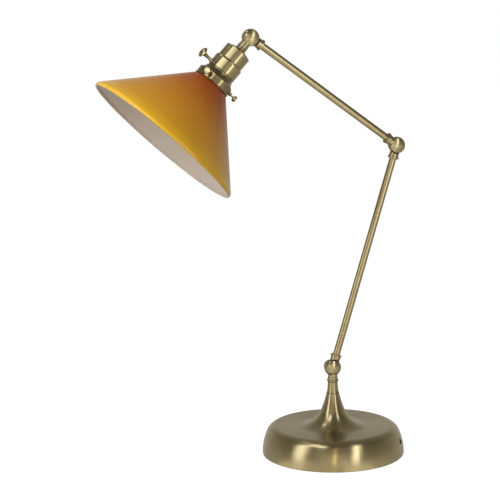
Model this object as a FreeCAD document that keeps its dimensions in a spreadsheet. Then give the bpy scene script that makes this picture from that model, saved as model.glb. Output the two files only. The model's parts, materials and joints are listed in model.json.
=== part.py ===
import FreeCAD, Part
import math
import os

import PartDesign
import Sketcher

# Swing arm desk lamp: a weighted spun base, two tube arms joined by three ball knuckles, a brass
# lampholder with a rotary switch, and a glass cone shade in a three-screw gallery.
#
# Frame: +Z up, origin under the middle of the base. The arms lie in the XZ plane, the shade
# reaches towards -X, and the plain faces of the knuckles point to -Y. Millimetres and degrees.
#
# Every turned piece is drawn along its own +X: a sketch point is (distance along the axis, radius).
# Its Placement then carries it to a station: a point of the XZ plane and the angle there of +X,
# counted from the frame's +X towards +Z.

DIMENSIONS = (
    # posture: where the three knuckles stand, and how the arms and the head lie between them
    ("knuckle_height", 135.5, "base knuckle above the underside"),
    ("lower_reach", 355.0, "base knuckle to elbow knuckle"),
    ("lower_lean", 17.5, "lower arm from upright, towards +X"),
    ("upper_reach", 289.5, "elbow knuckle to head knuckle"),
    ("upper_slope", 36.3, "upper arm from level"),
    ("head_pitch", 46.5, "lampholder axis below level"),
    # base
    ("base_radius", 109.3, "widest radius of the spun cover"),
    ("base_top", 44.5, "flat top above the underside"),
    ("base_lift", 0.8, "lower edge of the cover above the underside"),
    ("shoulder_centre_radius", 88.8, "radius at which the flat top ends"),
    ("shoulder_round", 14.5, "round between top and side"),
    ("shoulder_turn", 63.5, "angle that the round covers"),
    ("side_curve", 76.0, "radius of the side's curve"),
    ("flare_start", 53.4, "radius at which the trumpet leaves the flat top"),
    ("flare_round", 37.3, "lower curve of the trumpet"),
    ("flare_turn", 65.0, "angle that the lower curve covers"),
    ("neck_curve", 147.0, "upper curve of the trumpet"),
    ("neck_top", 96.0, "top of the trumpet"),
    ("neck_radius", 9.8, "radius of the trumpet's top"),
    ("spun_wall", 1.5, "thickness of the spun cover"),
    ("pad_radius", 104.0, "baize pad"),
    ("pad_thick", 2.0, "baize pad"),
    ("weight_radius", 106.0, "flange of the iron weight"),
    ("weight_top", 17.5, "top of the iron weight"),
    ("cord_hole_height", 24.5, "centre of the cord hole"),
    ("cord_hole_azimuth", -35.0, "cord hole, from +X about +Z"),
    ("cord_hole_radius", 4.6, "hole in the spun cover"),
    ("rod_radius", 5.0, "M10 x 1 threaded tube"),
    ("rod_bore", 3.5, "wire way in the threaded tube"),
    ("running", 0.06, "radial clearance of a turning fit"),
    # knuckles
    ("ball_radius", 13.0, "ball formed by the two halves"),
    ("face_edge", 11.6, "radius where the front half turns into its flatter face"),
    ("face_rise", 2.7, "rise of the front half's domed face"),
    ("seam", 0.6, "gap between the halves, filled by the friction washer"),
    ("swing_gap", 0.35, "clearance between a collar and the other half"),
    ("throat_radius", 7.3, "throat between the ball and the collar"),
    ("waist_radius", 7.7, "collar next to the ball"),
    ("flange_radius", 8.9, "flange of the collar"),
    ("holder_flange", 8.0, "flange of the collar that carries the lampholder"),
    ("flange_start", 18.2, "flange from the pivot"),
    ("collar_end", 21.5, "end of the collar from the pivot"),
    ("socket_depth", 7.0, "threaded socket in the collar"),
    ("wire_radius", 4.0, "wire way through a collar"),
    ("stud_radius", 2.5, "M5 pivot stud"),
    ("boss_radius", 4.4, "boss around the stud"),
    ("chamber_radius", 9.6, "outer radius of the wire chamber"),
    ("chamber_depth", 6.4, "floor of the wire chamber from the middle plane"),
    ("stop_angle", 80.0, "sector that the stops fill in each half"),
    ("seat_depth", 11.6, "flat seat on the rear half from the middle plane"),
    ("knob_radius", 9.2, "clamp knob"),
    ("knob_flutes", 16, "grip flutes around a clamp knob"),
    ("knob_end", 16.0, "end of the clamp knob from the middle plane"),
    # arms
    ("tube_radius", 5.5, "arm tube"),
    # lampholder, as distances from the head knuckle along its axis
    ("cap_radius", 20.5, "spun cap"),
    ("cap_shoulder", 28.5, "where the cap's cone meets its side"),
    ("cap_edge", 47.4, "visible lower edge of the cap"),
    ("body_radius", 22.8, "switch housing"),
    ("body_start", 48.2, "upper edge of the switch housing"),
    ("body_end", 68.0, "lower edge of the switch housing"),
    ("skirt_radius", 19.8, "threaded skirt that carries the gallery"),
    ("skirt_end", 96.0, "mouth of the skirt"),
    ("gallery_top", 70.8, "top face of the gallery"),
    ("gallery_lip", 90.4, "lower edge of the gallery"),
    ("gallery_radius", 29.2, "outside of the gallery band"),
    ("sheet_wall", 1.0, "thickness of the spun holder parts"),
    ("insulator_radius", 17.2, "ceramic block of the socket"),
    ("lamp_thread", 13.3, "E27 thread of the lamp socket"),
    ("contact_floor", 66.0, "floor of the recess that holds the centre contact"),
    ("lamp_floor", 72.5, "inner end of the lamp socket's screw shell"),
    ("lamp_mouth", 94.0, "mouth of the lamp socket"),
    ("switch_reach", 65.2, "switch axis along the holder"),
    ("switch_azimuth", 172.0, "switch knob, from the holder's underside towards the front"),
    ("screw_reach", 83.0, "gallery screws where they pass the wall"),
    ("screw_azimuth", 10.5, "first gallery screw, as the switch azimuth"),
    ("screw_tilt", 5.0, "gallery screws, heads towards the shade"),
    ("screw_radius", 1.5, "gallery screw shank"),
    # shade
    ("shade_shoulder", 29.0, "outside of the glass where its cone starts"),
    ("shade_turn", 195.2, "where the cone turns over to the rim, from the head knuckle"),
    ("shade_turn_radius", 125.6, "outside of the glass where the cone turns over"),
    ("shade_end", 201.2, "rim plane from the head knuckle"),
    ("shade_radius", 126.8, "outside of the shade's rim"),
    ("shade_wall", 3.0, "glass thickness"),
    ("shade_neck", 25.6, "outside of the glass neck"),
)

doc = FreeCAD.newDocument("swing_arm_desk_lamp")
sheet = doc.addObject("Spreadsheet::Sheet", "dims")
for row, (alias, value, note) in enumerate(DIMENSIONS, start=1):
    sheet.set(f"A{row}", str(value))
    sheet.setAlias(f"A{row}", alias)
    sheet.set(f"B{row}", note)
doc.recompute()


class Size:
    """A number together with the spreadsheet formula that it comes from."""

    def __init__(self, value, formula):
        self.value = value
        self.formula = formula

    def _with(self, other, sign, value):
        return Size(value, f"({self.formula} {sign} {formula_of(other)})")

    def __add__(self, other):
        return self._with(other, "+", self.value + number(other))

    def __sub__(self, other):
        return self._with(other, "-", self.value - number(other))

    def __mul__(self, other):
        return self._with(other, "*", self.value * number(other))

    def __truediv__(self, other):
        return self._with(other, "/", self.value / number(other))

    def __neg__(self):
        return self * -1

    def __radd__(self, other):
        return self + other

    def __rmul__(self, other):
        return self * other

    def __rsub__(self, other):
        return other + self * -1


def number(size):
    """The plain value of a Size or of a number."""
    return size.value if isinstance(size, Size) else size


def formula_of(size):
    return size.formula if isinstance(size, Size) else repr(size)


def dim(alias):
    """The Size behind a spreadsheet alias."""
    return Size(float(sheet.get(alias)), f"dims.{alias}")


def cosine(angle):
    return Size(math.cos(math.radians(number(angle))), f"cos({formula_of(angle)})")


def sine(angle):
    return Size(math.sin(math.radians(number(angle))), f"sin({formula_of(angle)})")


# ---------------------------------------------------------------- sketches and features


def new_body(label):
    body = doc.addObject("PartDesign::Body", label)
    body.Label = label
    return body


def origin_feature(body, role):
    return next(o for o in body.Origin.OriginFeatures if o.Role == role)


def arc_centre(start, end, radius):
    """Centre of the arc from start to end; a positive radius runs counter-clockwise."""
    half_x, half_y = (end[0] - start[0]) / 2, (end[1] - start[1]) / 2
    half = math.hypot(half_x, half_y)
    rise = math.sqrt(max(radius * radius - half * half, 0.0)) * math.copysign(1.0, radius)
    return (start[0] + half_x - half_y / half * rise, start[1] + half_y + half_x / half * rise)


def add_arc(sketch, start, end, radius):
    """Add the arc and return its geometry number with the point numbers of start and end."""
    centre_x, centre_y = arc_centre(start, end, radius)
    angles = [math.atan2(point[1] - centre_y, point[0] - centre_x) for point in (start, end)]
    if radius < 0:
        angles.reverse()
    if angles[1] < angles[0]:
        angles[1] += 2 * math.pi
    circle = Part.Circle(
        FreeCAD.Vector(centre_x, centre_y, 0), FreeCAD.Vector(0, 0, 1), abs(radius)
    )
    geometry = sketch.addGeometry(Part.ArcOfCircle(circle, *angles))
    return (geometry, 1, 2) if radius > 0 else (geometry, 2, 1)


def hold_point(sketch, geometry, point, place):
    """Tie one vertex to the sketch origin with two dimensions, bound to the sheet."""
    for kind, axis, size in (("DistanceX", -2, place[0]), ("DistanceY", -1, place[1])):
        if abs(number(size)) < 1e-9:
            sketch.addConstraint(Sketcher.Constraint("PointOnObject", geometry, point, axis))
            continue
        held = sketch.addConstraint(
            Sketcher.Constraint(kind, -1, 1, geometry, point, number(size))
        )
        if isinstance(size, Size):
            sketch.setExpression(f"Constraints[{held}]", size.formula)


def outline(body, points, plane="XY_Plane"):
    """A closed sketch through points (x, y) or (x, y, radius).

    A radius makes the stretch that ends at the point an arc, counter-clockwise when positive.
    """
    sketch = body.newObject("Sketcher::SketchObject", body.Name + "_sketch")
    sketch.AttachmentSupport = (origin_feature(body, plane), [""])
    sketch.MapMode = "FlatFace"
    places = [(number(point[0]), number(point[1])) for point in points]
    edges = []
    for index, point in enumerate(points):
        start, end = places[index - 1], places[index]
        if len(point) == 3:
            edges.append(add_arc(sketch, start, end, number(point[2])))
            radius = point[2] if number(point[2]) > 0 else -point[2]
            held = sketch.addConstraint(
                Sketcher.Constraint("Radius", edges[-1][0], number(radius))
            )
            if isinstance(radius, Size):
                sketch.setExpression(f"Constraints[{held}]", radius.formula)
        else:
            line = Part.LineSegment(FreeCAD.Vector(*start, 0), FreeCAD.Vector(*end, 0))
            edges.append((sketch.addGeometry(line), 1, 2))
    for index, (geometry, _, end_point) in enumerate(edges):
        following = edges[(index + 1) % len(edges)]
        sketch.addConstraint(
            Sketcher.Constraint("Coincident", geometry, end_point, following[0], following[1])
        )
        hold_point(sketch, geometry, end_point, points[index])
    return sketch


def turn(body, points, axis="H_Axis", angle=360.0, kind="PartDesign::Revolution"):
    """Revolve an outline about an axis of its sketch, evenly to both sides of the sketch."""
    sketch = outline(body, points)
    feature = body.newObject(kind, body.Name + "_turned")
    feature.Profile = sketch
    feature.ReferenceAxis = (sketch, [axis])
    feature.Midplane = True
    feature.Angle = number(angle)
    if isinstance(angle, Size):
        feature.setExpression("Angle", angle.formula)
    return feature


def groove(body, points, axis="H_Axis", angle=360.0):
    return turn(body, points, axis, angle, kind="PartDesign::Groove")


def dome(reach, rise):
    """Radius of a spherical cap that is centred on its axis of turning."""
    return (reach * reach + rise * rise) / (2 * rise)


def box_points(low_x, low_y, high_x, high_y):
    return ((low_x, low_y), (high_x, low_y), (high_x, high_y), (low_x, high_y))


def cylinder(body, placement, radius, length, cut=False):
    """An additive or subtractive cylinder inside a body, along the placement's own Z."""
    kind = "PartDesign::SubtractiveCylinder" if cut else "PartDesign::AdditiveCylinder"
    feature = body.newObject(kind, body.Name + "_cylinder")
    feature.AttachmentSupport = (origin_feature(body, "XY_Plane"), [""])
    feature.MapMode = "FlatFace"
    feature.AttachmentOffset = placement
    feature.Radius = number(radius)
    feature.Height = number(length)
    for name, size in (("Radius", radius), ("Height", length)):
        if isinstance(size, Size):
            feature.setExpression(name, size.formula)
    return feature


def around(body, features, axis_role, count):
    """Repeat features evenly about an axis of the body."""
    pattern = body.newObject("PartDesign::PolarPattern", body.Name + "_pattern")
    pattern.Originals = features
    pattern.Axis = (origin_feature(body, axis_role), [""])
    pattern.Angle = 360
    pattern.Occurrences = int(number(count))
    body.Tip = pattern
    return pattern


# ---------------------------------------------------------------- stations

UP = 90.0
lower_angle = UP - dim("lower_lean")
upper_angle = 180.0 - dim("upper_slope")
head_angle = 180.0 + dim("head_pitch")
elbow = (
    dim("lower_reach") * cosine(lower_angle),
    dim("knuckle_height") + dim("lower_reach") * sine(lower_angle),
)
wrist = (
    elbow[0] + dim("upper_reach") * cosine(upper_angle),
    elbow[1] + dim("upper_reach") * sine(upper_angle),
)
ON_FLOOR = ((0.0, 0.0), UP)
COLUMN = ((0.0, dim("knuckle_height")), UP + 180.0)
LOWER_ARM = ((0.0, dim("knuckle_height")), lower_angle)
LOWER_ARM_END = (elbow, lower_angle + 180.0)
UPPER_ARM = (elbow, upper_angle)
UPPER_ARM_END = (wrist, upper_angle + 180.0)
HEAD = (wrist, head_angle)


def stand(body, station):
    """Bind a body's Placement to a station."""
    (x, z), angle = station
    body.Placement = FreeCAD.Placement(
        FreeCAD.Vector(number(x), 0, number(z)),
        FreeCAD.Rotation(FreeCAD.Vector(0, -1, 0), number(angle)),
    )
    for name, size in (("Base.x", x), ("Base.z", z), ("Rotation.Angle", angle)):
        if isinstance(size, Size):
            body.setExpression("Placement." + name, size.formula)
    return body


def radial(reach, azimuth, tilt=0.0):
    """Frame on the holder axis whose Z points outwards at an azimuth, tilted towards the mouth."""
    swing = FreeCAD.Rotation(FreeCAD.Vector(1, 0, 0), number(azimuth))
    lean = FreeCAD.Rotation(FreeCAD.Vector(0, 1, 0), number(tilt))
    return FreeCAD.Placement(FreeCAD.Vector(number(reach), 0, 0), swing.multiply(lean))


X_TO_Z = FreeCAD.Placement(FreeCAD.Vector(), FreeCAD.Rotation(FreeCAD.Vector(0, -1, 0), 90))


def stand_radial(body, reach, azimuth, tilt=0.0):
    """Place a piece drawn along +X so that it points outwards from the holder axis."""
    (x, z), angle = HEAD
    head = FreeCAD.Placement(
        FreeCAD.Vector(number(x), 0, number(z)),
        FreeCAD.Rotation(FreeCAD.Vector(0, -1, 0), number(angle)),
    )
    body.Placement = head * radial(reach, azimuth, tilt) * X_TO_Z
    return body


# ---------------------------------------------------------------- base


FOOT_HEIGHT = 2.2  # where the foot's small round meets the curved side


def cover_profile():
    """The spun cover: foot, curved side, round shoulder, flat top and trumpet, then back inside."""
    wall, top, turned = dim("spun_wall"), dim("base_top"), dim("shoulder_turn")
    shoulder = (top - dim("shoulder_round"), dim("shoulder_centre_radius"))
    flare = (top + dim("flare_round"), dim("flare_start"))
    edge, foot = dim("base_lift"), FOOT_HEIGHT

    def on_shoulder(radius):
        return (shoulder[0] + radius * cosine(turned), shoulder[1] + radius * sine(turned))

    def on_flare(radius):
        turned_up = dim("flare_turn")
        return (flare[0] - radius * cosine(turned_up), flare[1] - radius * sine(turned_up))

    outer, inner = dim("shoulder_round"), dim("shoulder_round") - wall
    bore = dim("rod_radius") + 0.2
    return (
        (edge, dim("pad_radius") + 0.8),
        (edge, dim("base_radius") - 1.4),
        (foot, dim("base_radius"), -1.4),
        (*on_shoulder(outer), -dim("side_curve")),
        (top, shoulder[1], -outer),
        (top, dim("flare_start")),
        (*on_flare(dim("flare_round")), dim("flare_round")),
        (dim("neck_top"), dim("neck_radius"), dim("neck_curve")),
        (dim("neck_top"), bore),
        (dim("neck_top") - wall, bore),
        (dim("neck_top") - wall, dim("neck_radius") - wall + 0.2),
        (*on_flare(dim("flare_round") + wall), -(dim("neck_curve") + wall)),
        (top - wall, dim("flare_start"), -(dim("flare_round") + wall)),
        (top - wall, shoulder[1]),
        (*on_shoulder(inner), inner),
        (foot, dim("base_radius") - wall, dim("side_curve") - wall),
        (dim("pad_thick"), dim("base_radius") - wall),
        (dim("pad_thick"), dim("pad_radius") + 0.8),
    )


def cord_bearing():
    """Turn about the base's axis that carries the local Z to the cord hole's side."""
    return FreeCAD.Rotation(FreeCAD.Vector(1, 0, 0), 180 + number(dim("cord_hole_azimuth")))


def cord_frame(depth):
    """Frame in the cord hole, its Z pointing outwards, seen from the base station.

    The hole is square to the curved side, so its axis rises with the wall's slope. depth is
    counted outwards from the wall's outer face.
    """
    rise = number(dim("cord_hole_height")) - FOOT_HEIGHT
    curve = number(dim("side_curve"))
    slope = math.asin(rise / curve)
    wall_radius = number(dim("base_radius")) - curve * (1 - math.cos(slope))
    azimuth = cord_bearing()
    tilt = FreeCAD.Rotation(FreeCAD.Vector(0, 1, 0), math.degrees(slope))
    at_wall = azimuth.multVec(FreeCAD.Vector(0, 0, wall_radius))
    start = FreeCAD.Placement(
        FreeCAD.Vector(number(dim("cord_hole_height")), 0, 0) + at_wall, azimuth.multiply(tilt)
    )
    return start * FreeCAD.Placement(FreeCAD.Vector(0, 0, depth), FreeCAD.Rotation())


def make_base():
    shell = new_body("base_shell")
    turn(shell, cover_profile())
    cylinder(shell, cord_frame(-6.0), dim("cord_hole_radius"), 12.0, cut=True)
    stand(shell, ON_FLOOR)

    pad = new_body("base_pad")
    turn(pad, box_points(0.0, 0.0, dim("pad_thick"), dim("pad_radius")))
    stand(pad, ON_FLOOR)

    weight = new_body("base_weight")
    low, high = dim("pad_thick"), dim("weight_top")
    flange, chamfer, recess = 6.0, 2.0, 7.5
    turn(
        weight,
        (
            (low, dim("rod_radius") + 8.0),
            (low, dim("weight_radius") - 0.8),
            (low + 0.8, dim("weight_radius")),
            (low + flange, dim("weight_radius")),
            (low + flange, dim("weight_radius") - 12.0),
            (high - chamfer, dim("weight_radius") - 14.0),
            (high, dim("weight_radius") - 14.0 - chamfer),
            (high, dim("rod_radius") + 0.2),
            (low + recess, dim("rod_radius") + 0.2),
            (low + recess, dim("rod_radius") + 8.0),
        ),
    )
    stand(weight, ON_FLOOR)

    washer = new_body("base_washer")
    washer_start, nut_start = low + recess - 1.2, low + recess - 5.4
    turn(washer, box_points(washer_start, dim("rod_radius") + 0.2, low + recess, 12.0))
    stand(washer, ON_FLOOR)

    nut = hex_nut("base_nut", nut_start, washer_start)
    stand(nut, ON_FLOOR)

    rod = new_body("stem_rod")
    rod_start, rod_end = low + 1.0, dim("knuckle_height") - dim("collar_end") + 6.0
    turn(rod, box_points(rod_start, dim("rod_bore"), rod_end, dim("rod_radius")))
    wire_hole = FreeCAD.Placement(FreeCAD.Vector(number(high) + 9.0, 0, 0), cord_bearing())
    cylinder(rod, wire_hole, 2.6, 8.0, cut=True)
    stand(rod, ON_FLOOR)

    coupler = new_body("neck_coupler")
    start, end = dim("neck_top"), dim("knuckle_height") - dim("collar_end")
    waist = 7.9
    turn(
        coupler,
        (
            (start, dim("rod_radius")),
            (start, dim("neck_radius") - 0.7),
            (start + 0.5, dim("neck_radius") - 0.3),
            (start + 8.0, waist + 0.3, 30.0),
            (end - 0.6, waist, 90.0),
            (end, waist - 0.5),
            (end, dim("rod_radius")),
        ),
    )
    stand(coupler, ON_FLOOR)


def hex_nut(label, start, end):
    """An M10 x 1 nut between two stations along its axis."""
    nut = new_body(label)
    across_flats = 14.0
    prism = nut.newObject("PartDesign::AdditivePrism", label + "_prism")
    prism.AttachmentSupport = (origin_feature(nut, "XY_Plane"), [""])
    prism.MapMode = "FlatFace"
    prism.AttachmentOffset = FreeCAD.Placement(
        FreeCAD.Vector(number(start), 0, 0), FreeCAD.Rotation(FreeCAD.Vector(0, 1, 0), 90)
    )
    prism.Polygon = 6
    prism.Circumradius = across_flats / math.sqrt(3)
    prism.Height = number(end - start)
    prism.setExpression("Height", formula_of(end - start))
    groove(nut, box_points(start - 1.0, 0.0, end + 1.0, dim("rod_radius")))
    return nut


def make_cord_grommet():
    """A rubber bush in the cord hole: a flange behind the wall and a low lip in front."""
    grommet = new_body("cord_grommet")
    outside, bore = dim("cord_hole_radius"), 3.2
    behind = -(dim("spun_wall") + 0.6)
    turn(
        grommet,
        (
            (behind - 1.2, bore),
            (behind - 1.2, outside + 1.6),
            (behind, outside + 1.6),
            (behind, outside),
            (0.1, outside),
            (0.5, outside - 0.4),
            (0.5, bore + 0.4),
            (0.1, bore),
        ),
    )
    base = FreeCAD.Placement(FreeCAD.Vector(), FreeCAD.Rotation(FreeCAD.Vector(0, -1, 0), UP))
    grommet.Placement = base * cord_frame(0.0) * X_TO_Z


# ---------------------------------------------------------------- knuckles

FRONT, REAR = -1.0, 1.0


STUD_FRONT = -8.0  # threaded end of the pivot stud, in the front half


def on_sphere(ball, reach):
    """The other leg of a right triangle whose long side is the ball's radius."""
    return Size(
        math.sqrt(number(ball) ** 2 - number(reach) ** 2),
        f"sqrt({formula_of(ball)} ^ 2 - {formula_of(reach)} ^ 2)",
    )


def knuckle_half(label, side, station, socket_radius, socket_depth, flange):
    """One half of a ball knuckle with its collar.

    The ball is turned about Y and the collar about X. The front half ends in a flatter domed face,
    the rear half in a seat for the clamp knob. The collar is round on both sides of the middle
    plane, so a cylinder a little wider than the ball clears it on the other half's side.
    The wire chamber leaves a solid sector opposite the collar. On the front half a lug stands on
    that sector and reaches into the rear chamber: it meets the rear sector at the end of the
    swing. side is FRONT or REAR.
    """
    half = new_body(label)
    ball, face = dim("ball_radius"), dim("seam") / 2 * side
    overlap = 6.0
    if side == FRONT:
        edge = dim("face_edge")
        edge_depth = on_sphere(ball, edge)
        bevel, bevel_depth = 0.4, 0.5
        face_radius = dome(edge - bevel, dim("face_rise"))
        crown = (
            (edge, edge_depth * side, ball * side),
            (edge - bevel, (edge_depth + bevel_depth) * side, 0.7 * side),
            (0.0, (edge_depth + bevel_depth + dim("face_rise")) * side, face_radius * side),
        )
    else:
        seat = dim("seat_depth")
        crown = ((on_sphere(ball, seat), seat, ball), (0.0, seat))
    turn(half, ((on_sphere(ball, dim("seam") / 2), face), *crown, (0.0, face)), axis="V_Axis")

    throat, waist = dim("throat_radius"), dim("waist_radius")
    waist_start = ball + dim("swing_gap") + 0.3
    start, end = dim("flange_start"), dim("collar_end")
    turn(
        half,
        (
            (overlap, 0.0),
            (overlap, throat),
            (waist_start, throat),
            (waist_start + 0.6, waist - 0.4),
            (waist_start + 1.1, waist),
            (start, waist),
            (start + 0.2, flange - 0.3),
            (start + 0.5, flange),
            (end - 1.1, flange),
            (end - 0.8, flange - 0.3),
            (end - 0.7, waist - 0.9),
            (end, waist - 1.1),
            (end, 0.0),
        ),
    )
    clear = ball + dim("swing_gap")
    groove(half, box_points(0.0, face, clear, ball * -1.3 * side), axis="V_Axis")
    floor = dim("chamber_depth") * side
    narrow = dim("chamber_radius") - 2.6
    groove(
        half,
        (
            (dim("boss_radius"), face),
            (dim("chamber_radius"), face),
            (dim("chamber_radius"), face + 3.6 * side),
            (narrow, floor),
            (dim("boss_radius"), floor),
        ),
        axis="V_Axis",
        angle=360.0 - dim("stop_angle"),
    )
    if side == FRONT:
        lug_inner, lug_outer = dim("boss_radius") + 0.6, dim("chamber_radius") - 0.6
        root, tip = face - 1.0, 3.4
        turn(
            half,
            box_points(-lug_inner, root, -lug_outer, tip),
            axis="V_Axis",
            angle=dim("stop_angle") - 1.0,
        )
    socket = end - socket_depth
    groove(
        half,
        (
            (overlap + 1.0, 0.0),
            (overlap + 1.0, dim("wire_radius")),
            (socket, dim("wire_radius")),
            (socket, socket_radius),
            (end + 1.0, socket_radius),
            (end + 1.0, 0.0),
        ),
    )
    if side == FRONT:
        groove(half, box_points(0.0, face, dim("stud_radius"), STUD_FRONT), axis="V_Axis")
    else:
        bore = dim("stud_radius") + dim("running")
        groove(half, box_points(0.0, face, bore, dim("seat_depth") + 1.0), axis="V_Axis")
    return stand(half, station)


def knuckle_fittings(prefix, station):
    """Stud, washers and clamp knob of one knuckle, all turned about Y."""
    stud = new_body(prefix + "_knuckle_stud")
    radius, tip = dim("stud_radius"), dim("knob_end") - 1.8
    turn(
        stud,
        (
            (0.0, STUD_FRONT),
            (radius, STUD_FRONT),
            (radius, tip - 0.6),
            (radius - 0.6, tip),
            (0.0, tip),
        ),
        axis="V_Axis",
    )
    stand(stud, station)

    friction = new_body(prefix + "_friction_washer")
    half_gap = dim("seam") / 2
    inner, outer = dim("chamber_radius") + 0.3, dim("ball_radius") - 0.4
    turn(friction, box_points(inner, -half_gap, outer, half_gap), axis="V_Axis")
    stand(friction, station)

    seat = dim("seat_depth")
    spring = new_body(prefix + "_spring_washer")
    washer_thick = 0.7
    turn(
        spring,
        box_points(dim("stud_radius"), seat, 4.4, seat + washer_thick),
        axis="V_Axis",
    )
    stand(spring, station)

    knob = new_body(prefix + "_clamp_knob")
    start, end, grip = seat + washer_thick, dim("knob_end"), dim("knob_radius")
    bore = dim("stud_radius") + dim("running")
    turn(
        knob,
        (
            (bore, start),
            (4.6, start),
            (grip - 0.6, start + 0.7),
            (grip, start + 1.3),
            (grip, end - 1.3),
            (grip - 0.6, end - 0.7),
            (0.0, end, dome(grip - 0.6, 0.7)),
            (0.0, end - 1.3),
            (bore, end - 1.3),
        ),
        axis="V_Axis",
    )
    flute_radius = 1.0
    flute = cylinder(
        knob,
        FreeCAD.Placement(
            FreeCAD.Vector(number(grip) + 0.45, number(start) - 1.0, 0),
            FreeCAD.Rotation(FreeCAD.Vector(1, 0, 0), -90),
        ),
        flute_radius,
        8.0,
        cut=True,
    )
    around(knob, [flute], "Y_Axis", dim("knob_flutes"))
    stand(knob, station)


def make_knuckles():
    threaded, depth, flange = dim("rod_radius"), dim("socket_depth"), dim("flange_radius")
    knuckle_half("base_knuckle_front", FRONT, COLUMN, threaded + dim("running"), depth, flange)
    knuckle_half("base_knuckle_rear", REAR, LOWER_ARM, threaded, depth, flange)
    knuckle_fittings("base", COLUMN)
    knuckle_half("elbow_knuckle_rear", REAR, LOWER_ARM_END, threaded, depth, flange)
    knuckle_half("elbow_knuckle_front", FRONT, UPPER_ARM, threaded, depth, flange)
    knuckle_fittings("elbow", UPPER_ARM)
    knuckle_half("head_knuckle_rear", REAR, UPPER_ARM_END, threaded, depth, flange)
    knuckle_half("head_knuckle_front", FRONT, HEAD, threaded, depth, dim("holder_flange"))
    knuckle_fittings("head", HEAD)


# ---------------------------------------------------------------- arms


def arm_tube(label, station, reach):
    """A tube between two collars, its ends turned down to screw into their sockets."""
    tube = new_body(label)
    collar, spigot = dim("collar_end"), dim("rod_radius")
    first, last = collar - dim("socket_depth"), reach - collar + dim("socket_depth")
    bore = dim("wire_radius")
    turn(
        tube,
        (
            (first, bore),
            (first, spigot),
            (collar, spigot),
            (collar, dim("tube_radius")),
            (reach - collar, dim("tube_radius")),
            (reach - collar, spigot),
            (last, spigot),
            (last, bore),
        ),
    )
    return stand(tube, station)


# ---------------------------------------------------------------- lampholder


def make_lampholder():
    wall = dim("sheet_wall")
    skirt, rod = dim("skirt_radius"), dim("rod_radius")
    collar = dim("collar_end")

    nipple = new_body("holder_nipple")
    turn(nipple, box_points(collar - dim("socket_depth"), dim("rod_bore"), collar + 8.0, rod))
    stand(nipple, HEAD)

    cap = new_body("lampholder_cap")
    radius, shoulder = dim("cap_radius"), dim("cap_shoulder")
    neck = dim("holder_flange") - 0.2
    neck_end = collar + 1.7
    thread_end = dim("body_start") + 4.6
    turn(
        cap,
        (
            (collar, rod),
            (collar, neck - 0.4),
            (collar + 0.4, neck),
            (neck_end, neck),
            (shoulder - 0.5, radius - 0.9),
            (shoulder + 0.5, radius, -1.0),
            (thread_end, radius),
            (thread_end, radius - wall),
            (shoulder + 0.6, radius - wall),
            (neck_end + 1.2, neck + 0.6),
            (neck_end + 1.2, rod),
        ),
    )
    stand(cap, HEAD)

    nut = hex_nut("holder_nut", neck_end + 1.2, neck_end + 5.0)
    stand(nut, HEAD)

    housing = new_body("lampholder_body")
    outer, start, end = dim("body_radius"), dim("body_start"), dim("body_end")
    turn(
        housing,
        (
            (start, radius + 0.1),
            (start, outer - 1.3),
            (start + 3.0, outer, -5.0),
            (end - 0.8, outer),
            (end, outer - 0.8, -0.8),
            (end, skirt),
            (end - wall, skirt),
            (end - wall, outer - wall),
            (start + 3.0, outer - wall),
            (start + 1.2, outer - wall - 0.8),
            (start + 1.2, radius + 0.1),
        ),
    )
    bore_start, bore_length = 10.0, 20.0
    switch_hole = radial(dim("switch_reach"), dim("switch_azimuth"))
    switch_hole = switch_hole * FreeCAD.Placement(
        FreeCAD.Vector(0, 0, bore_start), FreeCAD.Rotation()
    )
    cylinder(housing, switch_hole, 2.4, bore_length, cut=True)
    stand(housing, HEAD)

    tube = new_body("lampholder_skirt")
    skirt_start = thread_end + 0.4
    ledge = skirt_start + 1.6
    turn(
        tube,
        (
            (skirt_start, dim("insulator_radius") + 0.2),
            (skirt_start, skirt),
            (dim("skirt_end") - 0.6, skirt),
            (dim("skirt_end"), skirt - 0.6),
            (dim("skirt_end"), skirt - 1.4),
            (ledge, skirt - 1.4),
            (ledge, dim("insulator_radius") + 0.2),
        ),
    )
    cylinder(tube, switch_hole, 2.4, bore_length, cut=True)
    stand(tube, HEAD)

    bead = new_body("holder_ring")
    bead_end = dim("gallery_top")
    turn(
        bead,
        (
            (end, skirt),
            (end, outer - 1.4),
            (end + 0.4, outer - 0.9),
            (end + 2.3, outer - 0.9, -1.3),
            (bead_end, outer - 1.6),
            (bead_end, skirt),
        ),
    )
    stand(bead, HEAD)

    make_gallery(skirt, wall)
    make_socket(skirt_start, radius - wall)


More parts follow.
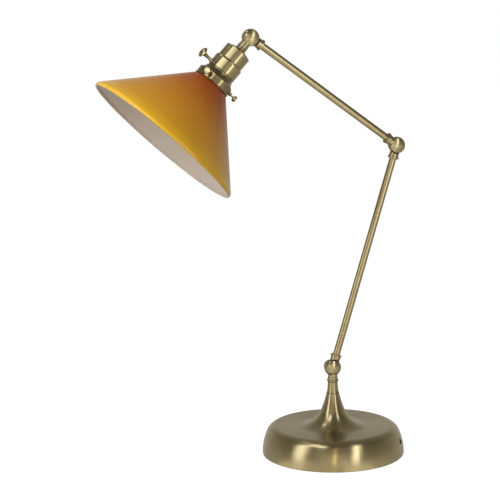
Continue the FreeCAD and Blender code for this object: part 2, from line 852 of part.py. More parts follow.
def make_gallery(skirt, wall):
    gallery = new_body("shade_gallery")
    top, lip, band = dim("gallery_top"), dim("gallery_lip"), dim("gallery_radius")
    cove_end = top + 7.6
    cove_start = dim("body_radius") + 0.2
    turn(
        gallery,
        (
            (top, skirt + 0.1),
            (top, cove_start),
            (cove_end, band - 0.4, 14.0),
            (cove_end + 0.8, band, -0.6),
            (lip - 1.8, band - 0.2),
            (lip - 0.9, band + 0.5, 2.0),
            (lip, band - 0.3, -0.75),
            (lip, band - wall - 0.2),
            (cove_end + 1.2, band - wall),
            (top + wall, cove_start - 1.2, -13.0),
            (top + wall, skirt + 0.1),
        ),
    )
    tilt = dim("screw_tilt")
    screw_origin = dim("screw_reach") - band * sine(tilt) / cosine(tilt)
    boss_start, boss_length, boss_radius = number(band) - 0.6, 4.3, 3.0
    along = radial(screw_origin, dim("screw_azimuth"), tilt)
    out = FreeCAD.Placement(FreeCAD.Vector(0, 0, boss_start), FreeCAD.Rotation())
    boss = cylinder(gallery, along * out, boss_radius, boss_length)
    around(gallery, [boss], "X_Axis", 3)
    inwards = FreeCAD.Placement(FreeCAD.Vector(0, 0, boss_start - 3.0), FreeCAD.Rotation())
    shank_hole = dim("screw_radius") + dim("running")
    hole = cylinder(gallery, along * inwards, shank_hole, boss_length + 6.0, cut=True)
    around(gallery, [hole], "X_Axis", 3)
    stand(gallery, HEAD)

    ring = new_body("shade_ring_nut")
    ring_start = top + wall
    turn(ring, box_points(ring_start, skirt, ring_start + 3.2, skirt + 1.8))
    stand(ring, HEAD)

    for index in range(3):
        screw = new_body(f"gallery_screw_{index + 1}")
        shank, head = dim("screw_radius"), 4.6
        tip, head_start, head_end = 25.8, 37.9, 43.0
        turn(
            screw,
            (
                (tip, 0.0),
                (tip, shank - 0.8),
                (tip + 1.2, shank),
                (head_start, shank),
                (head_start, head - 0.5),
                (head_start + 0.5, head),
                (head_end - 0.6, head),
                (head_end, head - 0.6),
                (head_end, head - 1.3),
                (head_end - 0.5, head - 1.9),
                (head_end - 0.3, 0.0),
            ),
        )
        azimuth = dim("screw_azimuth") + 120.0 * index
        stand_radial(screw, screw_origin, azimuth, tilt)


def make_socket(ledge, cap_bore):
    """The ceramic block hangs by its collar on the skirt's upper edge."""
    block = new_body("socket_insulator")
    start, shell_radius = ledge - 13.0, dim("lamp_thread") + 0.6
    outer, collar, recess = dim("insulator_radius"), cap_bore - 0.2, 7.5
    turn(
        block,
        (
            (start, 0.0),
            (start, collar - 3.0),
            (ledge - 6.0, collar - 3.0),
            (ledge - 6.0, collar),
            (ledge, collar),
            (ledge, outer),
            (dim("lamp_mouth") + 1.0, outer),
            (dim("lamp_mouth") + 1.0, shell_radius + 0.6),
            (dim("lamp_mouth"), shell_radius),
            (dim("lamp_floor"), shell_radius),
            (dim("lamp_floor"), recess),
            (dim("contact_floor"), recess),
            (dim("contact_floor"), 0.0),
        ),
    )
    rotor_chamber = radial(dim("switch_reach"), dim("switch_azimuth"))
    chamber = rotor_chamber * FreeCAD.Placement(FreeCAD.Vector(0, 0, 8.4), FreeCAD.Rotation())
    cylinder(block, chamber, 3.2, 14.0, cut=True)
    stand(block, HEAD)

    shell = new_body("lamp_screw_shell")
    turn(
        shell,
        box_points(dim("lamp_floor"), dim("lamp_thread"), dim("lamp_mouth"), shell_radius),
    )
    stand(shell, HEAD)

    contact = new_body("centre_contact")
    floor = dim("contact_floor")
    turn(
        contact,
        ((floor, 0.0), (floor, 4.5), (floor + 1.0, 4.5), (floor + 3.0, 2.2), (floor + 3.0, 0.0)),
    )
    stand(contact, HEAD)


def make_switch():
    bush = new_body("switch_bush")
    wall = dim("body_radius")
    spindle, running = 1.6, dim("running")
    turn(
        bush,
        (
            (wall - 3.0, spindle + running),
            (wall - 3.0, 2.4),
            (wall, 2.4),
            (wall, 3.2),
            (wall + 1.0, 3.2),
            (wall + 1.6, 2.6),
            (wall + 1.6, spindle + running),
        ),
    )
    stand_radial(bush, dim("switch_reach"), dim("switch_azimuth"))

    knob = new_body("switch_knob")
    root = wall + 1.8
    neck, head = 2.3, 8.0
    rim = 42.2
    turn(
        knob,
        (
            (12.0, 0.0),
            (12.0, spindle),
            (root, spindle),
            (root, 3.2),
            (root + 5.5, neck, 22.0),
            (rim - 4.6, neck + 0.9, 30.0),
            (rim, head, 6.5),
            (rim + 1.0, head - 0.1, -0.6),
            (rim + 4.2, 0.0, -dome(head - 0.1, 3.2)),
        ),
    )
    stand_radial(knob, dim("switch_reach"), dim("switch_azimuth"))

    rotor = new_body("switch_rotor")
    turn(rotor, box_points(9.0, 0.0, 12.0, 2.7))
    stand_radial(rotor, dim("switch_reach"), dim("switch_azimuth"))


# ---------------------------------------------------------------- shade


def make_shade():
    """A cone of glass, its edge turned over at the rim.

    The screws hold the neck below its bead, and the ledge meets the gallery.
    """
    shade = new_body("glass_shade")
    wall, neck, rim = dim("shade_wall"), dim("shade_neck"), dim("shade_radius")
    lip, shoulder = dim("gallery_lip"), dim("shade_shoulder")
    last, last_radius, end = dim("shade_turn"), dim("shade_turn_radius"), dim("shade_end")
    bead_start, bead_end = lip - 11.4, lip - 9.6
    cone_start = lip + 0.9
    cone = math.atan2(number(last_radius - shoulder), number(last - cone_start))
    inward = wall * math.cos(cone), wall * math.sin(cone)
    turned_over = 5.8
    turn(
        shade,
        (
            (bead_start, neck - wall),
            (bead_start, neck),
            (bead_end, neck, -1.1),
            (bead_end, neck - 0.4),
            (lip - 1.2, neck - 0.4),
            (lip, neck + 0.8, 1.2),
            (lip, shoulder - 1.2),
            (cone_start, shoulder),
            (last, last_radius),
            (end, rim, -turned_over),
            (end, rim - wall, -wall * 0.56),
            (last + inward[1], last_radius - inward[0]),
            (cone_start + inward[1], shoulder - inward[0]),
            (lip - 1.0, neck - wall, -6.0),
        ),
    )
    stand(shade, HEAD)


def main():
    make_base()
    make_cord_grommet()
    make_knuckles()
    arm_tube("lower_arm_tube", LOWER_ARM, dim("lower_reach"))
    arm_tube("upper_arm_tube", UPPER_ARM, dim("upper_reach"))
    make_lampholder()
    make_switch()
    make_shade()
    doc.recompute()

    pieces = [o for o in doc.Objects if o.TypeId == "PartDesign::Body"]
    for item in doc.Objects:
        if "Invalid" in item.State or "Error" in item.State:
            raise RuntimeError(f"{item.Name}: {item.State}")
    for piece in pieces:
        if piece.Shape.isNull() or not piece.Shape.isValid():
            raise RuntimeError(f"{piece.Label} has no valid shape")
        if len(piece.Shape.Solids) != 1:
            raise RuntimeError(f"{piece.Label} has {len(piece.Shape.Solids)} solids")
    os.makedirs("parts", exist_ok=True)
    for piece in pieces:
        piece.Shape.exportStep(f"parts/{piece.Label}.step")
    print(len(pieces), "pieces written")


main()
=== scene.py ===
import json
import math

import bpy
from mathutils import Matrix, Vector


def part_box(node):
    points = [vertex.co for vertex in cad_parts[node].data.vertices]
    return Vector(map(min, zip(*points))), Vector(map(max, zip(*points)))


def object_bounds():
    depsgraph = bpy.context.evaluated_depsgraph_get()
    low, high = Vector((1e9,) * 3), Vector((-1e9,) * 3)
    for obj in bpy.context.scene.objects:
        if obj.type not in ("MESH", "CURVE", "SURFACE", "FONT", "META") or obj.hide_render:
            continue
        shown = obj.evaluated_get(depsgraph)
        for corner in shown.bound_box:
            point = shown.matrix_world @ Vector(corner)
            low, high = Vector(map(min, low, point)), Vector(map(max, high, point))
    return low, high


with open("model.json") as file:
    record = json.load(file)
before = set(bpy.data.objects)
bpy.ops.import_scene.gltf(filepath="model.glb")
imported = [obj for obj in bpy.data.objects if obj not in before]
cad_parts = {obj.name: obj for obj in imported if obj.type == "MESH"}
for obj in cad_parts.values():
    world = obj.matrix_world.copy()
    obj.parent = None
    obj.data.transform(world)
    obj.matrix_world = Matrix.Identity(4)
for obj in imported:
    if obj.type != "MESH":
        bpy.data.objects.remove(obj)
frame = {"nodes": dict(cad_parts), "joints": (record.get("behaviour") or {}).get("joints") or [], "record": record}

# ---------------------------------------------------------------- places, from the frame

CAD_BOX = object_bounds()
MIDDLE = (CAD_BOX[0] + CAD_BOX[1]) / 2
NODES = frame["nodes"]
BODIES = frame["record"]["behaviour"]["bodies"]
JOINTS = {joint["name"]: joint for joint in frame["joints"]}
MOUNTS = {mount["name"]: mount for mount in frame["record"]["mounts"]}

Z_AXIS = Vector((0, 0, 1))
BASE_PIVOT = Vector(JOINTS["base_joint"]["pos_m"])
ELBOW_PIVOT = Vector(JOINTS["elbow_joint"]["pos_m"])
HEAD_PIVOT = Vector(JOINTS["head_joint"]["pos_m"])
KNUCKLE_AXIS = Vector(JOINTS["elbow_clamp"]["axis"])
HOLDER_AXIS = Vector(MOUNTS["lamp_socket"]["axis"]).normalized()
LOWER_AXIS = (ELBOW_PIVOT - BASE_PIVOT).normalized()
UPPER_AXIS = (HEAD_PIVOT - ELBOW_PIVOT).normalized()

# Metres from the head's pivot along the holder's axis.
GALLERY_LIP_REACH = 0.0904
SHADE_RIM_REACH = max(
    (vertex.co - HEAD_PIVOT).dot(HOLDER_AXIS) for vertex in NODES["glass_shade"].data.vertices
)

# ---------------------------------------------------------------- colours and textures


def srgb(red, green, blue):
    """A colour picked on a 0 to 255 scale, as Blender's linear RGBA."""

    def linear(value):
        value /= 255
        return value / 12.92 if value <= 0.04045 else ((value + 0.055) / 1.055) ** 2.4

    return (linear(red), linear(green), linear(blue), 1.0)


def grey(level):
    return (level, level, level, 1.0)


def room_white(level):
    """The warm white of the studio's walls and table, at a level of brightness."""
    return (level, level * 0.96, level * 0.90, 1.0)


BRASS = srgb(168, 153, 110)
BRASS_WORN = srgb(182, 168, 126)
BRASS_DARK = srgb(104, 90, 60)
CONTACT_BRASS = (srgb(188, 156, 84), srgb(214, 186, 112))
ZINC = (srgb(150, 148, 142), srgb(186, 184, 176))
IRON = (srgb(48, 45, 42), srgb(78, 73, 68))
RUBBER = (srgb(20, 20, 20), srgb(38, 37, 36))
FIBRE = (srgb(58, 42, 30), srgb(96, 72, 50))
PHENOLIC = (srgb(34, 28, 24), srgb(58, 46, 38))
FELT = (srgb(30, 28, 26), srgb(62, 58, 54))
FELT_TUFT = srgb(40, 37, 35)
PORCELAIN = (srgb(226, 220, 206), srgb(240, 236, 226))
PORCELAIN_PORE = srgb(170, 158, 140)
OPAL = (srgb(210, 193, 172), srgb(217, 205, 195))
AMBER_SPECK = srgb(120, 66, 20)
AMBER = (  # from the gallery, 0, to the rim, 1
    (0.0, srgb(137, 58, 14)),
    (0.16, srgb(153, 79, 16)),
    (0.42, srgb(173, 110, 22)),
    (0.80, srgb(190, 136, 26)),
    (0.93, srgb(208, 158, 28)),
    (0.975, srgb(224, 176, 34)),
    (1.0, srgb(210, 176, 84)),
)

# How fine a texture is: noise cells per metre.
BRUSH_STROKES = 2600.0
BRUSH_BANDS = 420.0
PATINA = 38.0
GLASS_SPECKS = 900.0
GLASS_WAVES = 26.0
GLASS_CLOUDS = 14.0
FELT_FIBRES = 1800.0
FELT_TUFTS = 160.0
PORCELAIN_PORES = 500.0
PORCELAIN_CLOUDS = 40.0

# How deep a texture's relief is, in metres.
STROKE_DEPTH = 0.00003
METAL_GRAIN_DEPTH = 0.00005
FINE_GRAIN_DEPTH = 0.0001
SAND_DEPTH = 0.0004
FELT_DEPTH = 0.0005
GLASS_WAVE_DEPTH = 0.0006

NOISE_SPAN = (0.3, 0.7)  # the part of a noise's values that carries its texture
CREVICE_REACH = 0.004
OPEN_TO_LIGHT = (0.35, 0.9)  # from a crevice's bottom to a free surface

# Screw threads, in metres.
E27_PITCH, E27_DEPTH = 0.00362, 0.0006
STEM_PITCH, STEM_DEPTH = 0.001, 0.0003


# ---------------------------------------------------------------- node helpers


class Tree:
    """A node tree with short calls for the nodes that the materials and the lights share."""

    def __init__(self, tree):
        self.tree = tree

    def node(self, kind, **settings):
        made = self.tree.nodes.new("ShaderNode" + kind)
        for name, value in settings.items():
            setattr(made, name, value)
        return made

    def feed(self, socket, value):
        if isinstance(value, bpy.types.NodeSocket):
            self.tree.links.new(value, socket)
        else:
            socket.default_value = value

    def chain(self, made, *values):
        """Feed a new node's first inputs; give its first output."""
        for index, value in enumerate(values):
            self.feed(made.inputs[index], value)
        return made.outputs[0]

    def vector(self, operation, first, second):
        return self.chain(self.node("VectorMath", operation=operation), first, second)

    def dot(self, first, second):
        made = self.node("VectorMath", operation="DOT_PRODUCT")
        self.chain(made, first, second)
        return made.outputs["Value"]

    def length(self, vector):
        made = self.node("VectorMath", operation="LENGTH")
        self.chain(made, vector)
        return made.outputs["Value"]

    def unit(self, vector):
        return self.chain(self.node("VectorMath", operation="NORMALIZE"), vector)

    def scale(self, vector, factor):
        made = self.node("VectorMath", operation="SCALE")
        self.feed(made.inputs["Scale"], factor)
        return self.chain(made, vector)

    def math(self, operation, first, second=0.0, clamp=False):
        return self.chain(self.node("Math", operation=operation, use_clamp=clamp), first, second)

    def stretch(self, value, low, high, to_low=0.0, to_high=1.0):
        """Map value's stretch from low to high on to_low to to_high, in a straight line."""
        return self.chain(self.node("MapRange"), value, low, high, to_low, to_high)

    def spread(self, value, low, high, to_low=0.0, to_high=1.0):
        """As stretch, but easing in and out."""
        made = self.node("MapRange", interpolation_type="SMOOTHSTEP")
        return self.chain(made, value, low, high, to_low, to_high)

    def mix(self, factor, first, second):
        made = self.node("Mix", data_type="RGBA")
        self.feed(made.inputs["Factor"], factor)
        self.feed(made.inputs["A"], first)
        self.feed(made.inputs["B"], second)
        return made.outputs["Result"]

    def ramp(self, value, stops):
        """A colour ramp through (position, colour) stops."""
        made = self.node("ValToRGB")
        elements = made.color_ramp.elements
        while len(elements) < len(stops):
            elements.new(0.5)
        for element, (position, colour) in zip(elements, stops):
            element.position = position
            element.color = colour
        return self.chain(made, value)

    def noise(self, vector, scale, detail=3.0, roughness=0.55):
        made = self.node("TexNoise")
        self.feed(made.inputs["Vector"], vector)
        self.feed(made.inputs["Scale"], scale)
        self.feed(made.inputs["Detail"], detail)
        self.feed(made.inputs["Roughness"], roughness)
        return made.outputs["Fac"]

    def seen_directly(self):
        """1 for rays from the camera, from gloss and through glass, 0 for diffuse light."""
        path = self.node("LightPath")
        total = path.outputs["Is Camera Ray"]
        for name in ("Is Glossy Ray", "Is Transmission Ray"):
            total = self.math("ADD", total, path.outputs[name], clamp=True)
        return total


class Shader(Tree):
    """A new material with a Principled shader."""

    def __init__(self, name):
        self.material = bpy.data.materials.new(name)
        self.material.use_nodes = True
        super().__init__(self.material.node_tree)
        self.bsdf = self.tree.nodes["Principled BSDF"]

    def set(self, **values):
        for name, value in values.items():
            self.feed(self.bsdf.inputs[name.replace("_", " ")], value)
        return self.material

    def bump(self, height, strength, distance):
        made = self.node("Bump")
        self.feed(made.inputs["Strength"], strength)
        self.feed(made.inputs["Distance"], distance)
        self.feed(made.inputs["Height"], height)
        self.feed(self.bsdf.inputs["Normal"], made.outputs[0])

    def place(self):
        """The point on the surface, in metres in the object's own coordinates."""
        return self.node("TexCoord").outputs["Object"]

    def around(self, point, axis):
        """Distance along an axis, distance from it, and the unit tangent round it."""
        relative = self.vector("SUBTRACT", self.place(), tuple(point))
        along = self.dot(relative, tuple(axis))
        across = self.vector("CROSS_PRODUCT", tuple(axis), relative)
        return along, self.length(across), self.unit(across)

    def outward(self, point, axis):
        """How far the surface faces away from an axis: 1 outside, -1 inside."""
        relative = self.vector("SUBTRACT", self.place(), tuple(point))
        on_axis = self.scale(tuple(axis), self.dot(relative, tuple(axis)))
        away = self.unit(self.vector("SUBTRACT", relative, on_axis))
        return self.dot(away, self.node("NewGeometry").outputs["True Normal"])

    def thread(self, point, axis, pitch, depth):
        """Cut a screw thread round an axis into the surface."""
        along, _, tangent = self.around(point, axis)
        side = axis.orthogonal().normalized()
        across = self.dot(tangent, tuple(side))
        beside = self.dot(tangent, tuple(axis.cross(side)))
        angle = self.math("ARCTAN2", across, beside)
        phase = self.math("SUBTRACT", self.math("MULTIPLY", along, math.tau / pitch), angle)
        self.bump(self.math("SINE", phase), 1.0, depth)


# ---------------------------------------------------------------- finishes


def antique_brass(
    name, point, axis, grain=0.15, directional=0.7, rough=0.22, depth=0.0, coat=0.3
):
    """Lacquered satin brass, brushed round the axis on which the piece was turned.

    depth darkens the patina, from 0 for the plain finish to 1.
    """
    shader = Shader(name)
    along, radius, tangent = shader.around(point, axis)
    rings = shader.chain(shader.node("CombineXYZ"), along, radius)
    moved_rings = shader.vector("ADD", rings, (3.1, 1.7, 0.4))
    strokes = shader.noise(moved_rings, BRUSH_STROKES, 2.0)
    bands = shader.noise(rings, BRUSH_BANDS, 3.0)
    patina = shader.noise(shader.place(), PATINA, 4.0, 0.6)
    # Painted shade: where the occlusion probe finds crevices and gaps between parts, the colour is darkened
    # towards BRASS_DARK and the roughness raised.
    hidden = shader.node("AmbientOcclusion", samples=6)
    hidden.inputs["Distance"].default_value = CREVICE_REACH
    painted_crevice_shade = shader.spread(hidden.outputs["AO"], *OPEN_TO_LIGHT, 1.0, 0.0)

    colour = shader.mix(shader.spread(patina, 0.35, 0.7, 0.0, 0.5), BRASS, BRASS_WORN)
    colour = shader.mix(shader.spread(bands, 0.3, 0.75, 0.0, 0.12), colour, BRASS_DARK)
    colour = shader.mix(depth, colour, BRASS_DARK)
    colour = shader.mix(shader.math("MULTIPLY", painted_crevice_shade, 0.75), colour, BRASS_DARK)
    roughness = shader.spread(strokes, 0.2, 0.8, rough - 0.03, rough + 0.03)
    roughness = shader.math("ADD", roughness, shader.math("MULTIPLY", painted_crevice_shade, 0.15))
    shader.bump(strokes, 0.04 * grain, STROKE_DEPTH)
    return shader.set(
        Base_Color=colour,
        Metallic=1.0,
        Roughness=roughness,
        Anisotropic=directional,
        Anisotropic_Rotation=0.25,
        Tangent=tangent,
        Coat_Weight=coat,
        Coat_Roughness=0.12,
    )


def cased_glass():
    """Amber glass over opal white: red-brown at the neck, ochre, then yellow at the rim."""
    shader = Shader("amber_cased_glass")
    along, _, _ = shader.around(HEAD_PIVOT, HOLDER_AXIS)
    past_lip = shader.math("SUBTRACT", along, GALLERY_LIP_REACH)
    reach = shader.math("DIVIDE", past_lip, SHADE_RIM_REACH - GALLERY_LIP_REACH)
    cloud = shader.noise(shader.place(), GLASS_CLOUDS, 3.0, 0.5)
    drift = shader.math("MULTIPLY", shader.math("SUBTRACT", cloud, 0.5), 0.10)
    amber = shader.ramp(shader.math("ADD", reach, drift), AMBER)
    specks = shader.noise(shader.place(), GLASS_SPECKS, 2.0)
    amber = shader.mix(shader.spread(specks, 0.4, 0.7, 0.0, 0.08), amber, AMBER_SPECK)
    outside = shader.spread(shader.outward(HEAD_PIVOT, HOLDER_AXIS), -0.12, 0.12)
    shader.bump(shader.noise(shader.place(), GLASS_WAVES, 2.0), 0.10, GLASS_WAVE_DEPTH)
    return shader.set(
        Base_Color=shader.mix(outside, shader.mix(cloud, *OPAL), amber),
        Roughness=shader.spread(specks, *NOISE_SPAN, 0.16, 0.22),
        IOR=1.5,
        Specular_IOR_Level=0.3,
        Subsurface_Weight=0.30,
        Subsurface_Radius=(0.9, 0.7, 0.5),
        Subsurface_Scale=0.002,
        Coat_Weight=0.08,
        Coat_Roughness=0.08,
    )


def grained(name, cells, detail, colours, rough, relief=None, metallic=0.0, harshness=0.55):
    """A plain finish whose one noise moves its colour, its gloss and its relief.

    cells is the grain's fineness per metre, rough the span of its roughness, and relief
    its strength and depth.
    """
    shader = Shader(name)
    grain = shader.noise(shader.place(), cells, detail, harshness)
    if relief:
        shader.bump(grain, *relief)
    shader.set(
        Base_Color=shader.mix(grain, *colours),
        Metallic=metallic,
        Roughness=shader.spread(grain, *NOISE_SPAN, *rough),
    )
    return shader


def contact_brass(name, relief=None):
    return grained(name, 900.0, 3.0, CONTACT_BRASS, (0.22, 0.34), relief, metallic=1.0)


def zinc_steel(name, relief=None):
    return grained(name, 1400.0, 3.0, ZINC, (0.28, 0.42), relief, metallic=1.0)


def screw_shell():
    """Brass rolled to the lamp's screw thread."""
    shader = contact_brass("screw_shell_brass")
    shader.thread(HEAD_PIVOT, HOLDER_AXIS, E27_PITCH, E27_DEPTH)
    return shader.material


def threaded_steel():
    shader = zinc_steel("threaded_steel")
    shader.thread(Vector(), Z_AXIS, STEM_PITCH, STEM_DEPTH)
    return shader.material


def cast_iron():
    relief = (0.6, SAND_DEPTH)
    return grained("cast_iron", 700.0, 6.0, IRON, (0.55, 0.8), relief, 0.4, 0.7).material


def black_rubber():
    relief = (0.3, FINE_GRAIN_DEPTH)
    return grained("black_rubber", 1500.0, 4.0, RUBBER, (0.5, 0.68), relief).material


def fibre_board():
    relief = (0.3, FINE_GRAIN_DEPTH)
    return grained("fibre_washer", 1100.0, 5.0, FIBRE, (0.75, 0.75), relief).material


def dark_phenolic():
    relief = (0.2, FINE_GRAIN_DEPTH)
    return grained("dark_phenolic", 800.0, 4.0, PHENOLIC, (0.35, 0.5), relief).material


def baize():
    """Dark felt: short fibres lying every way."""
    shader = Shader("baize")
    fibre = shader.noise(shader.place(), FELT_FIBRES, 6.0, 0.75)
    tuft = shader.noise(shader.place(), FELT_TUFTS, 4.0)
    tufted = shader.spread(tuft, 0.4, 0.8, 0.0, 0.5)
    shader.bump(fibre, 0.8, FELT_DEPTH)
    return shader.set(
        Base_Color=shader.mix(tufted, shader.mix(fibre, *FELT), FELT_TUFT),
        Roughness=0.95,
        Sheen_Weight=0.5,
        Sheen_Roughness=0.5,
    )


def glazed_porcelain():
    shader = Shader("glazed_porcelain")
    pores = shader.noise(shader.place(), PORCELAIN_PORES, 5.0)
    cloud = shader.noise(shader.place(), PORCELAIN_CLOUDS, 3.0)
    pitted = shader.spread(pores, 0.66, 0.8, 0.0, 0.4)
    shader.bump(pores, 0.15, FINE_GRAIN_DEPTH)
    return shader.set(
        Base_Color=shader.mix(pitted, shader.mix(cloud, *PORCELAIN), PORCELAIN_PORE),
        Roughness=shader.spread(pores, *NOISE_SPAN, 0.14, 0.24),
        Coat_Weight=0.4,
    )


# ---------------------------------------------------------------- which node wears what


def dress(names, material):
    for name in names:
        slots = NODES[name].data.materials
        slots.clear()
        slots.append(material)
        NODES[name].data.update()


def ending(*endings):
    return [name for name in NODES if name.endswith(endings)]


def middle(node):
    low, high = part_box(node)
    return (low + high) / 2


def dress_base_and_arms():
    base = antique_brass("brass_base", Vector(), Z_AXIS, directional=0.85, rough=0.24)
    dress(("base_shell", "neck_coupler"), base)
    arms = (("lower_arm", BASE_PIVOT, LOWER_AXIS), ("upper_arm", HEAD_PIVOT, UPPER_AXIS))
    for arm, pivot, axis in arms:
        tube = antique_brass("brass_" + arm, pivot, axis, directional=0.6, rough=0.24)
        dress((arm + "_tube",), tube)
    for joint, pivot in (("base", BASE_PIVOT), ("elbow", ELBOW_PIVOT), ("head", HEAD_PIVOT)):
        finish = antique_brass(
            f"brass_{joint}_knuckle", pivot, KNUCKLE_AXIS,
            grain=0.5, directional=0.85, rough=0.24, coat=0.6,
        )
        pieces = ("knuckle_front", "knuckle_rear", "clamp_knob")
        dress([f"{joint}_{piece}" for piece in pieces], finish)


def dress_holder():
    holder = antique_brass("brass_holder", HEAD_PIVOT, HOLDER_AXIS)
    dress(("lampholder_cap", "lampholder_body", "lampholder_skirt"), holder)
    dress(("holder_ring", "shade_ring_nut", "switch_bush"), holder)
    gallery = antique_brass("brass_gallery", HEAD_PIVOT, HOLDER_AXIS, depth=0.5)
    dress(("shade_gallery",), gallery)
    for joint in JOINTS.values():
        body = joint["child"]
        if body == "switch" or body.startswith("gallery_screw"):
            point = Vector(joint.get("pos_m") or middle(body))
            axis = Vector(joint["axis"])
            finish = antique_brass("brass_" + body, point, axis, directional=0.4)
            dress([name for name in BODIES[body] if name != "switch_rotor"], finish)


def dress_insides():
    steel = zinc_steel("zinc_steel", relief=(0.15, METAL_GRAIN_DEPTH)).material
    dress(ending("_stud", "_spring_washer"), steel)
    dress(("base_nut", "base_washer", "holder_nut", "holder_nipple"), steel)
    dress(("stem_rod",), threaded_steel())
    dress(("lamp_screw_shell",), screw_shell())
    contact = contact_brass("contact_brass", relief=(0.12, METAL_GRAIN_DEPTH)).material
    dress(("centre_contact",), contact)
    dress(ending("_friction_washer"), fibre_board())
    dress(("base_weight",), cast_iron())
    dress(("base_pad",), baize())
    dress(("cord_grommet",), black_rubber())
    dress(("switch_rotor",), dark_phenolic())
    dress(("socket_insulator",), glazed_porcelain())


# ---------------------------------------------------------------- camera

CAMERA_AZIMUTH = -19.03
CAMERA_ELEVATION = 10.5
CAMERA_ROLL = -0.78
CAMERA_DISTANCE = 2.8
CAMERA_FOCAL_MM = 132.2
SENSOR_MM = 36.0
AIM = Vector((-0.1153, 0.0483, 0.3195))


def direction(azimuth, elevation=0.0):
    """Unit vector from the object towards a viewer; azimuth 0 stands on -Y, 90 on +X."""
    flat, rise = math.radians(azimuth), math.radians(elevation)
    level = Vector((math.sin(flat), -math.cos(flat), 0.0))
    return level * math.cos(rise) + Z_AXIS * math.sin(rise)


def make_camera():
    lens = bpy.data.cameras.new("camera")
    lens.lens = CAMERA_FOCAL_MM
    lens.sensor_width = SENSOR_MM
    camera = bpy.data.objects.new("camera", lens)
    bpy.context.scene.collection.objects.link(camera)
    towards = direction(CAMERA_AZIMUTH, CAMERA_ELEVATION)
    camera.location = AIM + towards * CAMERA_DISTANCE
    camera.rotation_euler = (-towards).to_track_quat("-Z", "Y").to_euler()
    camera.rotation_euler.rotate_axis("Z", math.radians(CAMERA_ROLL))
    bpy.context.scene.camera = camera


# ---------------------------------------------------------------- lights

DAYLIGHT = (0.90, 0.93, 1.0)
LAMPLIGHT = (1.0, 0.80, 0.50)
SOFTBOXES = (
    # name, lower end, upper end (metres right, near and up in the camera's view, from the
    # middle of the base), width, glow, colour
    ("left_softbox", (-1.30, 0.76, -0.10), (-0.78, 0.56, 1.30), 0.75, 2.7, DAYLIGHT),
    ("upper_softbox", (-0.24, 0.95, 0.87), (-0.68, 0.26, 1.25), 0.46, 4.2, DAYLIGHT),
    ("overhead_softbox", (-0.60, 0.05, 1.60), (-0.70, -0.40, 1.50), 0.35, 4.5, DAYLIGHT),
    ("right_softbox", (0.87, 1.52, -0.12), (0.92, 0.70, 1.65), 0.55, 3.6, DAYLIGHT),
    ("front_strip", (-0.05, 1.7, -0.10), (0.05, 1.6, 0.80), 0.20, 2.6, LAMPLIGHT),
)
SOFT_EDGE = (0.45, 0.2)  # share of the width and of the length that each side fades over


def in_view(right, near, up):
    """A place as the camera's operator would say it, in metres from the middle of the base."""
    across = direction(CAMERA_AZIMUTH + 90.0)
    return across * right + direction(CAMERA_AZIMUTH) * near + Z_AXIS * up


def soft_edges(lamp, colour):
    """Let an area light fade towards its edges, as a diffuser does."""
    lamp.use_nodes = True
    tree = Tree(lamp.node_tree)
    glow = lamp.node_tree.nodes["Emission"]
    glow.inputs["Color"].default_value = (*colour, 1.0)
    split = tree.node("SeparateXYZ")
    tree.chain(split, tree.node("NewGeometry").outputs["Parametric"])
    across, along = (
        tree.spread(tree.math("PINGPONG", split.outputs[index], 0.5), 0.0, edge)
        for index, edge in enumerate(SOFT_EDGE)
    )
    tree.feed(glow.inputs["Strength"], tree.math("MULTIPLY", across, along))


def softbox(name, low, high, width, glow, colour):
    """An area light along the line from low to high, turned towards the lamp."""
    low, high = in_view(*low), in_view(*high)
    centre = (low + high) / 2
    facing = (centre - Vector((MIDDLE.x, 0.0, MIDDLE.z))).normalized()
    rise = high - low
    along = (rise - facing * rise.dot(facing)).normalized()
    lamp = bpy.data.lights.new(name, "AREA")
    lamp.shape = "RECTANGLE"
    lamp.size, lamp.size_y = width, rise.length
    lamp.energy = glow * math.pi * width * rise.length
    soft_edges(lamp, colour)
    box = bpy.data.objects.new(name, lamp)
    bpy.context.scene.collection.objects.link(box)
    turned = Matrix((along.cross(facing), along, facing)).transposed()
    box.matrix_world = Matrix.Translation(centre) @ turned.to_4x4()
    box.visible_camera = False


# ---------------------------------------------------------------- room

# Brightness of the room by where it lies, from the camera's own side, 0, to behind the lamp, 1.
ROOM = ((0.0, 0.90), (0.04, 0.60), (0.10, 0.30), (0.35, 0.26), (0.60, 0.33), (0.90, 0.50))
CEILING = (0.20, 0.55, 1.0, 0.66)  # from this rise to that, the room falls from 1 to its ceiling
KEY_SIDE = (-80.0, 25.0)  # azimuth from the camera's, and elevation, of the brightest side
KEY_FALL = (-0.4, 1.0, 0.30, 0.95)  # diffuse light on the far side and on the key side


def make_world():
    """White behind the object; the unlit room at the sides and above shows in the metal."""
    world = bpy.data.worlds.new("studio")
    bpy.context.scene.world = world
    world.use_nodes = True
    tree = Tree(world.node_tree)
    place = tree.node("TexCoord").outputs["Generated"]
    behind = tree.dot(place, tuple(-direction(CAMERA_AZIMUTH)))
    stops = [(position, room_white(level)) for position, level in ROOM]
    walls = tree.ramp(tree.stretch(behind, -1.0, 1.0), stops)
    split = tree.node("SeparateXYZ")
    tree.chain(split, place)
    room = tree.scale(walls, tree.spread(split.outputs["Z"], *CEILING))
    key_azimuth, key_elevation = KEY_SIDE
    key = direction(CAMERA_AZIMUTH + key_azimuth, key_elevation)
    diffuse = tree.stretch(tree.dot(place, tuple(key)), *KEY_FALL)
    unseen = tree.mix(tree.seen_directly(), diffuse, room)
    camera = tree.node("LightPath").outputs["Is Camera Ray"]
    background = world.node_tree.nodes["Background"]
    tree.feed(background.inputs["Color"], tree.mix(camera, unseen, grey(1.0)))


# ---------------------------------------------------------------- floor

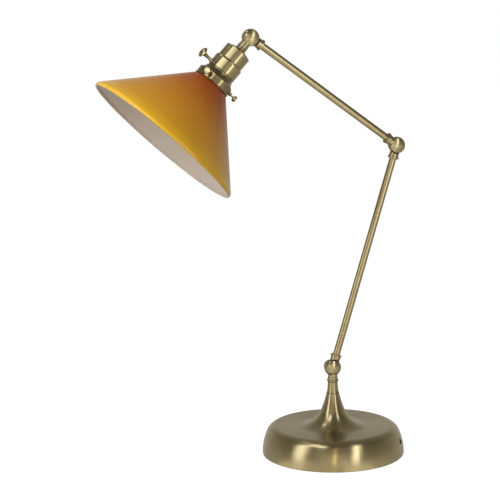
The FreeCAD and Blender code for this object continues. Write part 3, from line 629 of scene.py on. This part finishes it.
FLOOR_DROP = 0.0002  # keeps the floor clear of the pad
FLOOR_RADIUS = 6.0
FLOOR_SEEN = grey(0.96)
FLOOR_PAINT = grey(0.16)
FLOOR_BOUNCE = (0.19, 0.17, 0.135, 1.0)
TABLE_FALL = (0.2, 0.95, 0.36, 0.68)  # as the metal sees it, at the sides and in front
LIGHT_POOLS = ((-44.0, 0.6), (22.0, 0.9))  # azimuth from the camera's, and strength
POOL_EDGE = 0.955  # cosine of the angle at which a pool ends


def make_floor():
    """A pale floor that shows white to the eye and keeps a soft shadow."""
    bpy.ops.mesh.primitive_circle_add(
        vertices=96, radius=FLOOR_RADIUS, fill_type="NGON", location=(0, 0, -FLOOR_DROP)
    )
    floor = bpy.context.object
    floor.name = "studio_floor"
    shader = Shader("studio_floor")
    shader.set(Base_Color=FLOOR_PAINT, Roughness=0.9, Specular_IOR_Level=0.0)

    # Seen in gloss, the floor glows with painted light: brighter in front than at the sides, with two painted
    # pools of light.
    from_base = shader.unit(shader.place())
    ahead = shader.dot(from_base, tuple(direction(CAMERA_AZIMUTH)))
    table = shader.spread(ahead, *TABLE_FALL)
    for azimuth, strength in LIGHT_POOLS:
        facing = shader.dot(from_base, tuple(direction(CAMERA_AZIMUTH + azimuth)))
        pool = shader.spread(facing, POOL_EDGE, 1.0, 0.0, strength)
        table = shader.math("ADD", table, pool)
    reflected = shader.mix(table, grey(0.0), room_white(1.0))
    camera = shader.node("LightPath").outputs["Is Camera Ray"]
    direct = shader.mix(camera, reflected, FLOOR_SEEN)

    # To diffuse light the floor glows with FLOOR_BOUNCE, a painted bounce of light.
    glow = shader.node("Emission")
    lit = shader.chain(glow, shader.mix(shader.seen_directly(), FLOOR_BOUNCE, direct))
    painted = shader.chain(shader.node("AddShader"), shader.bsdf.outputs[0], lit)
    # From below the floor is clear, so the pad shows.
    from_below = shader.node("NewGeometry").outputs["Backfacing"]
    clear = shader.node("BsdfTransparent").outputs[0]
    one_sided = shader.chain(shader.node("MixShader"), from_below, painted, clear)
    shader.feed(shader.tree.nodes["Material Output"].inputs["Surface"], one_sided)
    floor.data.materials.append(shader.material)


make_camera()
dress_base_and_arms()
dress_holder()
dress_insides()
dress(("glass_shade",), cased_glass())
for box in SOFTBOXES:
    softbox(*box)
make_world()
make_floor()
bpy.context.scene.view_settings.view_transform = "Standard"
